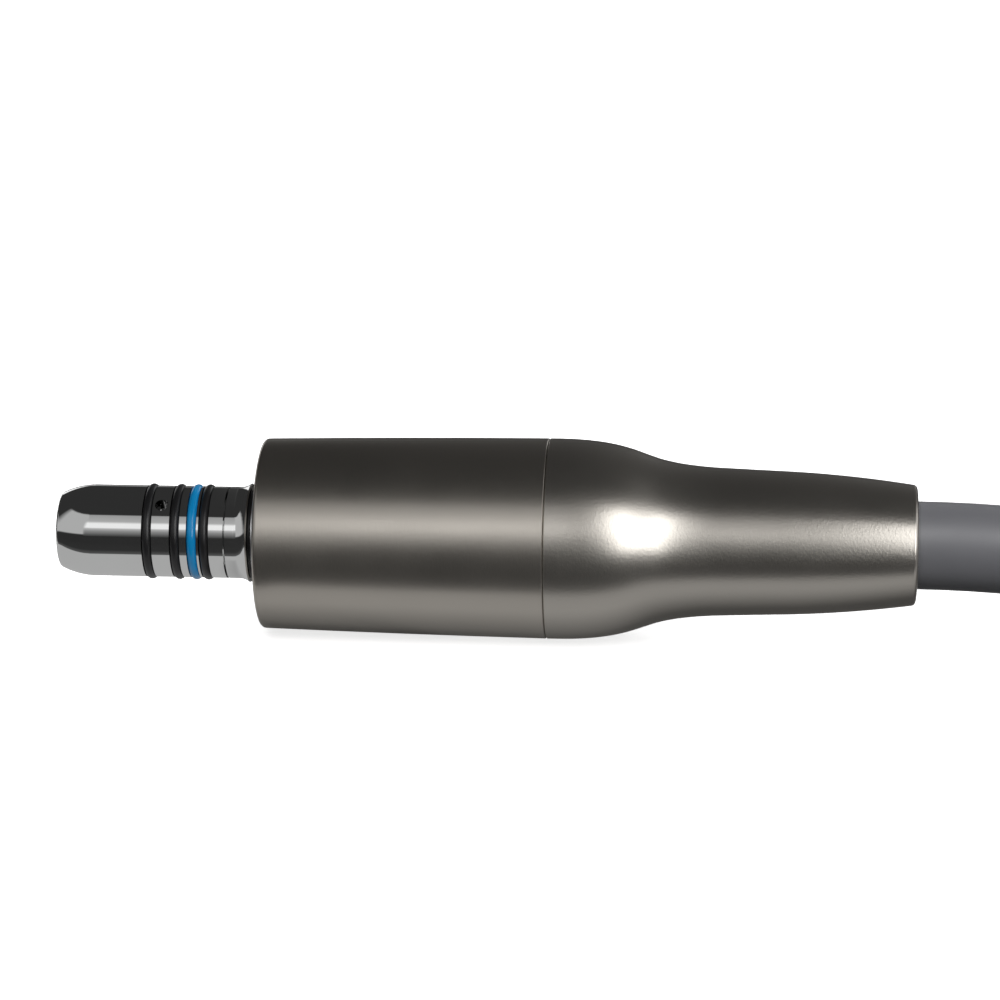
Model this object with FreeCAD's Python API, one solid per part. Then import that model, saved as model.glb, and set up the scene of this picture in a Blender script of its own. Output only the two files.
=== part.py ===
"""Dental electric micromotor with a lit, sprayed handpiece coupling, its screwed hose sleeve and its hose.

The motor lies on a table with its axis along X: the coupling nose points to -X and the hose leaves to +X.
The origin is under the middle of the motor, on the table. Stations are measured in millimetres along an
axis: from the tip of the nose on the motor, and from where the hose turns straight on the connector.
An angle round an axis is 0 towards -Y and 90 towards +Z.
"""

import FreeCAD, Part
import math
import os

V = FreeCAD.Vector

# ---- driving dimensions ----
MOTOR_LENGTH = 93.1
AXIS_Z = 10.9  # largest radius of the casings, which rest on the table
FIT = 0.02  # gap between pieces that are pressed or screwed together
RUN = 0.06  # gap of a running fit

NOSE_R = 5.0
NOSE_END = 18.4
SPIGOT_R = 3.9
SPIGOT_END = 25.0
COLLAR_END, SEAL_WIDTH = 21.0, 0.5
MOUTH_R = 2.2
MOUTH_DEPTH = 5.3
BORE_R = 1.95
GROOVE_R = 4.2
GROOVE_WIDTH = 1.1
RING_SECTION_R = 0.5
BLUE_RING = 14.96
RING_STATIONS = (10.06, 13.1, BLUE_RING, 16.28)

LED_ANGLE, LED_RADIUS, LED_HOLE_R = 90, 3.1, 0.6
AIR_ANGLE, WATER_ANGLE, COOLING_ANGLE, CABLE_ANGLE = 50, 230, 320, 140
CHANNEL_RADIUS, CHANNEL_R = 3.2, 0.5
AIR_PORT_STATION, AIR_PORT_R = 11.58, 0.7
WATER_PORT_STATION, WATER_PORT_R = 14.03, 0.25
TUBE_RADIUS, TUBE_R, TUBE_BORE_R = 8.5, 0.7, 0.45
NIPPLE_RADIUS, NIPPLE_R, NIPPLE_BORE_R = 5.3, 0.9, 0.6

FACE = 22.27  # front face of the casing, where a handpiece comes to rest
JOINT = 53.39  # hairline between the front casing and the hose sleeve
JOINT_GAP = 0.06
CASING_BORE_R = 9.45
SEAT_BORE_R = 5.6  # clear of the collar, so that a handpiece's flat rear face can lie on the seat
CAN_R, CAN_BORE_R = 7.7, 7.08
FRONT_BEARING, REAR_BEARING = 27.0, 47.8  # first station of each bearing
BEARING_WIDTH, BEARING_BORE_R, BEARING_R = 4.0, 2.0, 4.5
BALL_R, BALL_RADIUS, BALLS = 0.7, 3.3, 8
SHAFT_R = 2.0
MAGNET_R, MAGNET_SLEEVE_R = 3.72, 3.95
COIL_BORE_R, COIL_R = 4.3, 5.5
STACK = (32.5, 46.5)  # stator laminations
LAMINATION = 1.0

FRONT_R, CASING_R = 10.36, 10.88  # the barrel's radius at its front and at the joint
# The sleeve's waist: where the shoulder starts, then (arc radius, fall at its start, fall at its end, in degrees).
SHOULDER = 54.83
SLEEVE_ARCS = [(34.0, 0.0, 6.5), (21.5, 6.5, 20.9), (17.5, 20.9, 9.0), (37.0, 9.0, 2.0)]

THREAD_R, THREAD_PITCH = 8.58, 0.75
SLEEVE_TRAVEL = 2.25  # three turns of the thread

HOSE_R = 4.75
HOSE_BORE_R = 3.8
LINE_RADIUS, LINE_R, LINE_BORE_R = 1.75, 0.95, 0.55

COIL_CENTRE = (118.0, 52.75)
TURN_IN, TURN_OUT = 43.25, 52.75  # radii of the hose's centre line in the inner and outer turns
LAYER = 2 * HOSE_R
TOP_LAYER = (60.0, 216.0)  # where the coil is three layers high, in degrees round its own centre
TIE_ANGLES, TIE_WIDTH, TIE_THICKNESS = (146.0, 204.0), 6.0, 0.6

# The connector lies on the coil's second layer: where its axis starts, and its heading from +X.
CONNECTOR_START = (49.44, -8.08, 27.35)  # radius round the coil's centre, degrees round it, height
CONNECTOR_HEADING = 87.0
BOOT = (2.0, 20.0)
NUT_R, NUT_FLUTES = 8.3, 28

# The free hose's route as corner points, which tangent arcs round off. It lies on the table, then on the coil.
LEAD_ROUTE = [
    (MOTOR_LENGTH / 2, 0.0, AXIS_Z),
    (62.0, 0.0, AXIS_Z),
    (85.5, 0.0, HOSE_R),
    (110.5, 0.3, HOSE_R),
]
# (radius round the coil's centre, degrees round it, height)
TAIL_TURN = [
    (53.8, -152.36, 23.75),
    (53.84, -129.45, 23.76),
    (53.44, -106.26, 23.8),
    (52.69, -82.82, 23.95),
    (51.73, -59.0, 24.4),
    (50.8, -37.67, 25.35),
    (49.9, -17.8, 26.65),
]


# ---- shapes about the X axis ----
def turned(*outline):
    """Turns a closed outline of (station, radius) points.

    A step that is a pair of points is an arc. A step that is a list is a smooth curve: how steeply it falls at its
    start and end in degrees, then its points.
    """
    edges = []
    here = V(outline[0][0], 0, outline[0][1])
    for step in outline[1:] + outline[:1]:
        if isinstance(step, list):
            ways = [V(math.cos(a), 0, -math.sin(a)) for a in map(math.radians, step[:2])]
            points = [here] + [V(s, 0, r) for s, r in step[2:]]
            end = points[-1]
            curve = Part.BSplineCurve()
            curve.interpolate(Points=points, InitialTangent=ways[0], FinalTangent=ways[1])
            edges.append(curve.toShape())
        elif isinstance(step[0], tuple):
            middle, end = (V(s, 0, r) for s, r in step)
            edges.append(Part.Arc(here, middle, end).toShape())
        else:
            end = V(step[0], 0, step[1])
            edges.append(Part.makeLine(here, end))
        here = end
    return Part.Face(Part.Wire(edges)).revolve(V(0, 0, 0), V(1, 0, 0), 360)


def ring(start, end, inner, outer):
    return turned((start, inner), (start, outer), (end, outer), (end, inner))


def rod(start, end, radius):
    return Part.makeCylinder(radius, end - start, V(start, 0, 0), V(1, 0, 0))


def around(station, radius, angle):
    """The point at a station, at that radius and angle round the axis."""
    a = math.radians(angle)
    return V(station, -radius * math.cos(a), radius * math.sin(a))


def side_rod(start, end, thickness, radius, angle):
    """A rod parallel to the axis, at that radius and angle."""
    return Part.makeCylinder(thickness, end - start, around(start, radius, angle), V(1, 0, 0))


def side_tube(start, end, outer, inner, radius, angle):
    return side_rod(start, end, outer, radius, angle).cut(side_rod(start, end, inner, radius, angle))


def cross_rod(station, thickness, inner, outer, angle):
    """A rod that points away from the axis."""
    start = around(station, inner, angle)
    way = around(station, outer, angle) - start
    return Part.makeCylinder(thickness, way.Length, start, way)


def cross_slot(start, end, width, inner, outer, angle):
    """A box that points away from the axis, as long as the stations given."""
    box = Part.makeBox(end - start, width, outer - inner, V(start, -width / 2, inner))
    return box.rotate(V(0, 0, 0), V(1, 0, 0), angle - 90)


def o_ring(station, radius, section):
    return Part.makeTorus(radius, section, V(station, 0, 0), V(1, 0, 0))


def wire(points, radius):
    """A round wire with mitred corners through a list of points."""
    pieces = [
        Part.makeCylinder(radius, (b - a).Length, a, b - a) for a, b in zip(points, points[1:])
    ]
    corners = [Part.makeSphere(radius, p) for p in points[1:-1]]
    return pieces[0].fuse(pieces[1:] + corners)


def pipe(points, radius):
    """A round tube of straight runs joined by arcs, each arc as large as its two runs allow."""
    edges, here = [], points[0]
    for before, corner, after in zip(points, points[1:], points[2:]):
        back, ahead = before - corner, after - corner
        room = 0.45 * min(back.Length, ahead.Length)
        turn = math.pi - back.getAngle(ahead)
        start = corner + back.normalize() * room
        end = corner + ahead.normalize() * room
        inside = (back + ahead).normalize()
        bend = room / math.tan(turn / 2)
        print(f"  corner turns {math.degrees(turn):.1f} degrees at radius {bend:.0f} mm")
        middle = corner + inside * bend * (1 / math.cos(turn / 2) - 1)
        edges += [Part.LineSegment(here, start).toShape(), Part.Arc(start, middle, end).toShape()]
        here = end
    edges.append(Part.LineSegment(here, points[-1]).toShape())
    path = Part.Wire(edges)
    section = Part.Wire(Part.makeCircle(radius, points[0], points[1] - points[0]))
    tube = path.makePipeShell([section], True, False)
    expected = math.pi * radius**2 * path.Length
    print(f"  tube {path.Length:.1f} mm long, volume {tube.Volume / expected:.4f} of section times length")
    return tube


# ---- where things stand ----
MOTOR = FreeCAD.Placement(V(-MOTOR_LENGTH / 2, 0, AXIS_Z), FreeCAD.Rotation())


def on_coil(radius, angle, height):
    """A point at that radius and angle round the coil's centre."""
    a = math.radians(angle)
    return V(COIL_CENTRE[0] + radius * math.cos(a), COIL_CENTRE[1] + radius * math.sin(a), height)


CONNECTOR = FreeCAD.Placement(on_coil(*CONNECTOR_START), FreeCAD.Rotation(V(0, 0, 1), CONNECTOR_HEADING))
NOWHERE = FreeCAD.Placement()


def keep(name, place, *shapes):
    """Writes a node's solids where they stand."""
    solids = [s for shape in shapes for s in shape.Solids]
    for solid in solids:
        solid.Placement = place.multiply(solid.Placement)
        if not solid.isValid() or solid.Volume <= 0:
            print(f"  {name} has a solid that isn't valid")
    whole = solids[0] if len(solids) == 1 else Part.makeCompound(solids)
    whole.exportStep(f"parts/{name}.step")


# ---- nose: what a handpiece slides over ----
def nose_sleeve():
    """Plated sleeve with a domed tip, four ring grooves, spray ports and a rear spigot."""
    tip_arc = 8.0
    dome = 3.8

    def dome_radius(station):
        return NOSE_R - tip_arc + math.sqrt(tip_arc**2 - (dome - station) ** 2)

    edge = 0.25
    grooves = []
    for station in RING_STATIONS:
        start, end = station - GROOVE_WIDTH / 2, station + GROOVE_WIDTH / 2
        grooves += [(start, NOSE_R), (start, GROOVE_R), (end, GROOVE_R), (end, NOSE_R)]
    body = turned(
        (0, MOUTH_R + 0.25),
        (0, 3.85),
        ((0.07, 4.05), (edge, dome_radius(edge))),
        ((1.8, dome_radius(1.8)), (dome, NOSE_R)),
        *grooves,
        (NOSE_END, NOSE_R),
        (NOSE_END, SPIGOT_R),
        (SPIGOT_END, SPIGOT_R),
        (SPIGOT_END, BORE_R),
        (MOUTH_DEPTH, BORE_R),
        (MOUTH_DEPTH, MOUTH_R),
        (0.25, MOUTH_R),
    )
    outlet = SPIGOT_END - 0.9
    cuts = [side_rod(-1, SPIGOT_END + 1, LED_HOLE_R, LED_RADIUS, LED_ANGLE)]
    for angle, station, radius in (
        (AIR_ANGLE, AIR_PORT_STATION, AIR_PORT_R),
        (WATER_ANGLE, WATER_PORT_STATION, WATER_PORT_R),
    ):
        cuts.append(side_rod(station, outlet + CHANNEL_R, CHANNEL_R, CHANNEL_RADIUS, angle))
        cuts.append(cross_rod(station, radius, CHANNEL_RADIUS, NOSE_R + 1, angle))
        cuts.append(cross_rod(outlet, 0.4, CHANNEL_RADIUS, NOSE_R, angle))
    return body.cut(cuts)


def nose_rings():
    """Three black rings, and a blue one between the air and water ports."""
    rings = {s: o_ring(s, GROOVE_R + FIT + RING_SECTION_R, RING_SECTION_R) for s in RING_STATIONS}
    keep("blue_o_ring", MOTOR, rings.pop(BLUE_RING))
    keep("black_o_rings", MOTOR, *rings.values())


def coupling_collar():
    """Flared ring behind the sleeve, where the handpiece's clip takes hold."""
    start, end = NOSE_END + 0.12, COLLAR_END
    return turned(
        (start, SPIGOT_R + FIT),
        (start, NOSE_R - 0.1),
        (start + 0.1, NOSE_R),
        (19.5, NOSE_R),
        ((20.3, 5.1), (end - 0.15, 5.4)),
        (end, 5.3),
        (end, SPIGOT_R + FIT),
    )


def base_seal():
    start, end = COLLAR_END + FIT, COLLAR_END + SEAL_WIDTH
    return turned(
        (start, SPIGOT_R + FIT),
        (start, 4.95),
        (((start + end) / 2, 5.12), (end, 4.95)),
        (end, SPIGOT_R + FIT),
    )


def led():
    """Glass light rod in the nose's face, the lamp behind it and its two leads to the rear board."""
    keep("led_lens", MOTOR, side_rod(0.12, 2.5, LED_HOLE_R - FIT, LED_RADIUS, LED_ANGLE))
    keep("led_lamp", MOTOR, side_rod(2.55, 6.0, LED_HOLE_R - FIT, LED_RADIUS, LED_ANGLE))
    turn_out, turn_in = SPIGOT_END + 0.3, 51.3
    leads = []
    for offset in (-0.27, 0.27):
        route = [(6.05, LED_RADIUS), (turn_out, LED_RADIUS), (turn_out, TUBE_RADIUS), (turn_in, TUBE_RADIUS)]
        route += [(turn_in, 6.8), (54.28, 6.8)]
        leads.append(wire([around(s, r, LED_ANGLE) + V(0, offset, 0) for s, r in route], 0.18))
    keep("led_leads", MOTOR, *leads)


# ---- drive: what turns the handpiece ----
DOG = (5.5, 10.4)
DOG_PIN = 9.0
DOG_TRAVEL = 1.0


def drive_dog():
    """Sprung dog on the shaft's tip: two prongs in front, and a slot for the pin that drives it."""
    sleeve = turned(
        (DOG[0], 1.1),
        (DOG[0], 1.5),
        (DOG[0] + 0.3, 1.8),
        (DOG[1], 1.8),
        (DOG[1], 1.1),
    )
    mouth = Part.makeBox(1.5, 4.0, 1.3, V(DOG[0], -2.0, -0.65))
    slot_start = DOG_PIN - DOG_TRAVEL - 0.35
    slot = Part.makeBox(DOG_PIN + 0.35 - slot_start, 0.7, 4.0, V(slot_start, -0.35, -2.0))
    return sleeve.cut([mouth, slot])


def dog_spring():
    start, length, turns = DOG[1] + 0.25, 3.55, 6
    helix = Part.makeHelix(length / turns, length, 1.45)
    section = Part.Wire(Part.makeCircle(0.15, V(1.45, 0, 0), V(0, 1, 0)))
    spring = Part.Wire(helix.Edges).makePipeShell([section], True, True)
    spring.Placement = FreeCAD.Placement(V(start, 0, 0), FreeCAD.Rotation(V(0, 1, 0), 90))
    return spring


def rotor():
    """Shaft with its pin, the magnet in its binding sleeve and a balance ring at each end."""
    rear_end = REAR_BEARING + BEARING_WIDTH + 0.1
    shaft = turned(
        (7.4, 0),
        (7.4, 0.8),
        (7.65, 1.05),
        (14.4, 1.05),
        (14.4, 1.8),
        (15.4, 1.8),
        (15.4, 1.5),
        (FRONT_BEARING - 0.1, 1.5),
        (FRONT_BEARING - 0.1, SHAFT_R),
        (31.05, SHAFT_R),
        (31.05, 2.4),
        (31.55, 2.4),
        (31.55, SHAFT_R),
        (rear_end, SHAFT_R),
        (rear_end, 0),
    )
    pin_hole = Part.makeCylinder(0.3, 4, V(DOG_PIN, 0, -2), V(0, 0, 1))
    keep("rotor_shaft", MOTOR, shaft.cut(pin_hole))
    keep("dog_pin", MOTOR, Part.makeCylinder(0.3 - FIT / 2, 3.3, V(DOG_PIN, 0, -1.65), V(0, 0, 1)))
    keep("drive_dog", MOTOR, drive_dog())
    keep("dog_spring", MOTOR, dog_spring())
    bore = SHAFT_R + FIT
    keep("rotor_magnet", MOTOR, ring(32.85, 46.15, bore, MAGNET_R))
    keep("magnet_sleeve", MOTOR, ring(32.8, 46.2, MAGNET_R + FIT, MAGNET_SLEEVE_R))
    front = ring(31.6, 32.75, bore, 3.9)
    rear = ring(46.25, 47.4, bore, 3.9).fuse(ring(47.4, REAR_BEARING - FIT, bore, 2.5))
    keep("balance_rings", MOTOR, front, rear)


def bearing(name, start):
    """A grooved ball bearing: two rings, a pierced cage and its balls."""
    middle, end = start + BEARING_WIDTH / 2, start + BEARING_WIDTH
    track = o_ring(middle, BALL_RADIUS, BALL_R + FIT)
    keep(f"{name}_bearing_inner", MOTOR, ring(start, end, BEARING_BORE_R + FIT, 2.75).cut(track))
    keep(f"{name}_bearing_outer", MOTOR, ring(start, end, 3.9, BEARING_R).cut(track))
    centres = [around(middle, BALL_RADIUS, 360 * i / BALLS) for i in range(BALLS)]
    pockets = [Part.makeSphere(BALL_R + 2 * FIT, c) for c in centres]
    cage = ring(middle - 0.95, middle + 0.95, 3.05, 3.55).cut(pockets)
    keep(f"{name}_bearing_cage", MOTOR, cage)
    keep(f"{name}_bearing_balls", MOTOR, *[Part.makeSphere(BALL_R, c) for c in centres])


def bearing_shields():
    discs = []
    for start in (FRONT_BEARING, REAR_BEARING):
        for offset in (0.1, BEARING_WIDTH - 0.3):
            discs.append(ring(start + offset, start + offset + 0.2, 2.87, 3.9 - FIT))
    return discs


def preload_spring():
    """Dished spring washer that pushes the rear bearing forward."""
    start = REAR_BEARING + BEARING_WIDTH + FIT
    return turned((start, 4.1), (start, 4.35), (start + 0.2, 4.35), (52.56, 2.95), (52.36, 2.75))


def shaft_seal():
    return turned((25.65, 2.6), (25.65, 3.35), (26.8, 3.35), (26.8, 1.6), (26.55, 1.6), (26.2, 2.6))


# ---- stator and its housing ----
def stator():
    count = int((STACK[1] - STACK[0]) / LAMINATION)
    starts = [STACK[0] + i * LAMINATION for i in range(count)]
    sheets = [ring(s, s + LAMINATION - FIT, COIL_R + 0.1, CAN_BORE_R - FIT) for s in starts]
    keep("stator_laminations", MOTOR, *sheets)
    coils, gap = [], 4.0
    for i in range(6):
        wedge = Part.makeCylinder(COIL_R, 15.6, V(31.7, 0, 0), V(1, 0, 0), 60 - gap)
        hole = rod(31, 48, COIL_BORE_R)
        coils.append(wedge.cut(hole).rotate(V(0, 0, 0), V(1, 0, 0), 60 * i))
    keep("stator_windings", MOTOR, *coils)
    leads = []
    for angle in (60, 105, 150):
        route = [(46.85, COIL_R + FIT), (46.85, 6.25), (54.28, 6.25)]
        leads.append(wire([around(s, r, angle) for s, r in route], 0.3))
    keep("phase_leads", MOTOR, *leads)


def motor_can():
    return ring(26.05, 50.05, CAN_BORE_R, CAN_R)


def front_end_bell():
    """Holds the nose, the shaft seal and the front bearing, and leads spray from the tubes to the nose."""
    front, boss_r = COLLAR_END + SEAL_WIDTH + FIT, SEAT_BORE_R - RUN
    body = turned(
        (front, SPIGOT_R + FIT),
        (front, boss_r),
        (23.25, boss_r),
        (23.25, 9.4),
        (26.0, 9.4),
        (26.0, CAN_BORE_R - FIT),
        (FRONT_BEARING + BEARING_WIDTH, CAN_BORE_R - FIT),
        (FRONT_BEARING + BEARING_WIDTH, BEARING_R + FIT),
        (FRONT_BEARING - 0.05, BEARING_R + FIT),
        (FRONT_BEARING - 0.05, 3.37),
        (25.6, 3.37),
        (25.6, 2.65),
        (SPIGOT_END + 0.05, 2.65),
        (SPIGOT_END + 0.05, SPIGOT_R + FIT),
    )
    inlet = SPIGOT_END - 0.9
    cuts = [cross_slot(SPIGOT_END, 25.6, 1.1, 2.4, TUBE_RADIUS + 0.3, LED_ANGLE)]
    cuts.append(cross_slot(SPIGOT_END, 26.2, 1.1, TUBE_RADIUS - 0.3, 10, LED_ANGLE))
    for angle in (AIR_ANGLE, WATER_ANGLE):
        cuts.append(cross_rod(inlet, 0.4, SPIGOT_R, TUBE_RADIUS, angle))
        cuts.append(side_rod(inlet - 0.2, 27, TUBE_R + FIT, TUBE_RADIUS, angle))
    return body.cut(cuts)


def rear_end_bell():
    """Holds the rear bearing, and leads spray and cooling air from the nipples into the motor."""
    body = turned(
        (47.7, BEARING_R + FIT),
        (47.7, CAN_BORE_R - FIT),
        (50.1, CAN_BORE_R - FIT),
        (50.1, 9.4),
        (52.3, 9.4),
        (52.3, 7.8),
        (54.2, 7.8),
        (54.2, 1.0),
        (52.6, 1.0),
        (52.6, BEARING_R + FIT),
    )
    cuts = [side_rod(47, 55, 0.34, 6.25, angle) for angle in (60, 105, 150)]
    cuts.append(cross_slot(50, 51.7, 1.1, 6.5, 10, LED_ANGLE))
    cuts.append(cross_slot(50, 55, 1.1, 6.5, 7.1, LED_ANGLE))
    for angle in (AIR_ANGLE, WATER_ANGLE):
        cuts.append(side_rod(49.9, 51.3, TUBE_R + FIT, TUBE_RADIUS, angle))
        cuts.append(cross_rod(51.2, 0.4, NIPPLE_RADIUS, TUBE_RADIUS, angle))
        cuts.append(side_rod(51.0, 55, NIPPLE_BORE_R, NIPPLE_RADIUS, angle))
    cuts.append(side_rod(47, 55, NIPPLE_BORE_R, NIPPLE_RADIUS, COOLING_ANGLE))
    for angle in (AIR_ANGLE, WATER_ANGLE, COOLING_ANGLE):
        cuts.append(side_rod(53, 55, NIPPLE_R + FIT, NIPPLE_RADIUS, angle))
    return body.cut(cuts)


def spray_tubes():
    inlet = SPIGOT_END - 0.9
    for name, angle in (("chip_air_tube", AIR_ANGLE), ("water_tube", WATER_ANGLE)):
        keep(name, MOTOR, side_tube(inlet + 0.5, 51.0, TUBE_R, TUBE_BORE_R, TUBE_RADIUS, angle))


def front_casing():
    """Slightly barrelled shell round the motor, with the handpiece's seat as its front face."""
    edge = 0.5
    end = JOINT - JOINT_GAP / 2
    bevel = 0.09
    return turned(
        (FACE, SEAT_BORE_R),
        (FACE, FRONT_R - edge),
        ((FACE + 0.146, FRONT_R - 0.146), (FACE + edge, FRONT_R)),
        ((37.2, 10.67), (end - bevel, CASING_R)),
        (end, CASING_R - bevel),
        (end, CASING_BORE_R),
        (FACE + 0.95, CASING_BORE_R),
        (FACE + 0.95, SEAT_BORE_R),
    )


# ---- electrical and fluid connection at the joint ----
PIN_RADIUS, PIN_R, PINS = 3.0, 0.5, 6
PIN_ANGLES = [360 / PINS * i + 20 for i in range(PINS)]
NIPPLE_ANGLES = (AIR_ANGLE, WATER_ANGLE, COOLING_ANGLE)


def sensor_board():
    holes = [side_rod(54, 56, NIPPLE_R + 2 * FIT, NIPPLE_RADIUS, a) for a in NIPPLE_ANGLES]
    return ring(54.3, 55.1, 1.0, 7.5).cut(holes)


def contact_block():
    holes = [side_rod(55, 60, NIPPLE_R + FIT, NIPPLE_RADIUS, a) for a in NIPPLE_ANGLES]
    holes += [side_rod(55, 60, PIN_R + FIT, PIN_RADIUS, a) for a in PIN_ANGLES]
    return rod(55.15, 59.0, 7.6).cut(holes)


def contacts_and_nipples():
    pins = [
        side_rod(55.15, 62.2, PIN_R, PIN_RADIUS, a).fuse(
            Part.makeSphere(PIN_R, around(62.2, PIN_RADIUS, a))
        )
        for a in PIN_ANGLES
    ]
    keep("contact_pins", MOTOR, *pins)
    nipples = [
        side_tube(53.02, 63.6, NIPPLE_R, NIPPLE_BORE_R, NIPPLE_RADIUS, a) for a in NIPPLE_ANGLES
    ]
    keep("fluid_nipples", MOTOR, *nipples)
    seals = [
        Part.makeTorus(NIPPLE_R + 0.3, 0.28, around(61.5, NIPPLE_RADIUS, a), V(1, 0, 0))
        for a in NIPPLE_ANGLES
    ]
    keep("nipple_o_rings", MOTOR, *seals)


def coupling_ring():
    """Ring screwed into the front casing. Its spigot carries the thread for the hose sleeve."""
    end = 58.9
    threads, station = [], 55.0
    while station < end - THREAD_PITCH:
        threads += [(station, THREAD_R), (station + 0.28, THREAD_R - 0.28), (station + 0.56, THREAD_R)]
        station += THREAD_PITCH
    return turned(
        (52.35, 7.85),
        (52.35, 9.4),
        (JOINT - 0.05, 9.4),
        (JOINT - 0.05, THREAD_R),
        *threads,
        (end - 0.3, THREAD_R),
        (end, THREAD_R - 0.3),
        (end, 7.85),
    )


def joint_seal():
    section = 0.35
    return o_ring(53.95, THREAD_R + FIT + section, section)


# ---- hose end: the sleeve and what it pulls home ----
def sweep(place, arc, first, last):
    """Where an arc that starts at that place leads, while the outline's fall turns from first to last degrees."""
    first, last = math.radians(first), math.radians(last)
    outward = 1 if last > first else -1
    return (
        place.x + outward * arc * (math.sin(last) - math.sin(first)),
        place.z - outward * arc * (math.cos(first) - math.cos(last)),
    )


def hose_sleeve():
    """Outer sleeve of the hose end: a waisted shell that screws onto the coupling ring."""
    start = JOINT + JOINT_GAP / 2
    bevel = 0.09
    place = V(SHOULDER, 0, CASING_R)
    waist = [SLEEVE_ARCS[0][1], SLEEVE_ARCS[-1][2]]
    for arc, first, last in SLEEVE_ARCS:
        waist += [sweep(place, arc, first, first + (last - first) * share) for share in (1 / 3, 2 / 3, 1)]
        place = V(waist[-1][0], 0, waist[-1][1])
    end, edge = MOTOR_LENGTH, 0.45
    return turned(
        (start, 9.36),
        (start, CASING_R - bevel),
        (start + bevel, CASING_R),
        (SHOULDER, CASING_R),
        waist,
        (79.5, 7.74),
        ((86.5, 7.27), (end - edge, 6.54)),
        ((end - 0.13, 6.39), (end, 6.1)),
        (end, 5.15),
        (end - 0.2, 4.95),
        (91.2, 4.95),
        (91.2, 5.6),
        (80.0, 6.6),
        (67.5, 6.95),
        (64.0, 7.3),
        (62.12, 7.3),
        (62.12, 8.42),
        (59.2, 8.42),
        (59.2, THREAD_R + RUN),
        (54.5, THREAD_R + RUN),
        (54.5, 9.36),
    )


def slip_ring():
    """Nylon ring between the sleeve's shoulder and the socket block's flange. It slides and doesn't turn."""
    return ring(61.06, 62.06, 7.06, 8.36)


def socket_block():
    body = turned((59.05, 0), (59.05, 7.6), (59.2, 7.9), (61.0, 7.9), (61.0, 7.0), (66.0, 7.0), (66.0, 0))
    holes = [side_rod(59, 63, PIN_R + 0.05, PIN_RADIUS, a) for a in PIN_ANGLES]
    holes += [side_rod(59, 64, NIPPLE_R + 0.05, NIPPLE_RADIUS, a) for a in NIPPLE_ANGLES]
    holes += [side_rod(61.1, 61.9, NIPPLE_R + 0.65, NIPPLE_RADIUS, a) for a in NIPPLE_ANGLES]
    return body.cut(holes)


def hose_barb():
    """Metal end piece: a bell that is fixed to the socket block and a barbed tube inside the hose."""
    barbs = []
    for station in (72.5, 74.5, 76.5):
        barbs += [(station, 3.55), (station, HOSE_BORE_R - FIT), (station + 1.6, 3.55)]
    return turned(
        (66.05, 5.95),
        (66.05, 6.6),
        (70.6, 6.6),
        (71.0, 6.2),
        (71.0, 3.55),
        *barbs,
        (80.0, 3.55),
        (80.0, 3.2),
        (70.6, 3.2),
        (69.9, 5.95),
    )


def crimp_ferrule():
    start, end, outer, pressed = 71.05, 79.5, 5.5, 5.15
    dents = []
    for station in (72.6, 74.6, 76.6):
        dents += [(station, outer), (station + 0.3, pressed), (station + 0.9, pressed), (station + 1.2, outer)]
    bore = HOSE_R + FIT
    return turned((start, bore), (start, outer), *dents, (end - 0.3, outer), (end, outer - 0.3), (end, bore))


def hose_lines():
    """The hose's three fluid lines and its cable, from the socket block to the hose's exit."""

    def route(angle, start, end):
        bends = ((start, 4.3), (67.0, 4.3), (70.0, LINE_RADIUS), (end, LINE_RADIUS))
        return [around(s, r, angle) for s, r in bends]

    lines = []
    for angle in NIPPLE_ANGLES:
        bore = wire(route(angle, 66.0, MOTOR_LENGTH + 1), LINE_BORE_R)
        lines.append(wire(route(angle, 66.03, MOTOR_LENGTH), LINE_R).cut(bore))
    keep("fluid_lines", MOTOR, *lines)
    keep("power_cable", MOTOR, wire(route(CABLE_ANGLE, 66.03, MOTOR_LENGTH), LINE_R))


def hose_end():
    return ring(71.05, MOTOR_LENGTH, HOSE_BORE_R, HOSE_R)


# ---- free hose: lead, coil, tail and ties ----
def free_hose():
    keep("hose_lead", NOWHERE, pipe([V(*p) for p in LEAD_ROUTE], HOSE_R))
    inner, outer, between = TURN_IN - HOSE_R, TURN_OUT + HOSE_R, TURN_OUT - HOSE_R
    base = V(*COIL_CENTRE, 0)
    up = V(0, 0, 1)
    bundle = Part.makeCylinder(outer, 2 * LAYER, base, up)
    span = TOP_LAYER[1] - TOP_LAYER[0]
    top = Part.makeCylinder(outer, 3 * LAYER, base, up, span)
    top.rotate(base, up, TOP_LAYER[0])
    hole = Part.makeCylinder(inner, 3 * LAYER, base, up)
    step = Part.makeCylinder(between, LAYER, base + V(0, 0, 2 * LAYER), up)
    keep("hose_coil", NOWHERE, bundle.fuse(top).cut([hole, step]).removeSplitter())

    straight = [CONNECTOR.multVec(V(s, 0, 0)) for s in (6.0, BOOT[1])]
    keep("hose_tail", NOWHERE, pipe([on_coil(*p) for p in TAIL_TURN] + straight, HOSE_R))

    def band(angle):
        """A strap round the bundle, as a frame in the plane that holds the coil's axis."""
        t = TIE_THICKNESS

        def plate(grow, width):
            corners = [
                (inner - grow, t - grow),
                (outer + grow, t - grow),
                (outer + grow, 3 * LAYER + grow),
                (between - 0.4 * grow, 3 * LAYER + grow),
                (inner - grow, 2 * LAYER + 0.4 * grow),
            ]
            points = [V(x, -width / 2, z) for x, z in corners]
            return Part.Face(Part.makePolygon(points + points[:1])).extrude(V(0, width, 0))

        strap = plate(t, TIE_WIDTH).cut(plate(0, 2 * TIE_WIDTH))
        strap.Placement = FreeCAD.Placement(base, FreeCAD.Rotation(up, angle))
        return strap

    keep("hose_ties", NOWHERE, *[band(angle) for angle in TIE_ANGLES])


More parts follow.
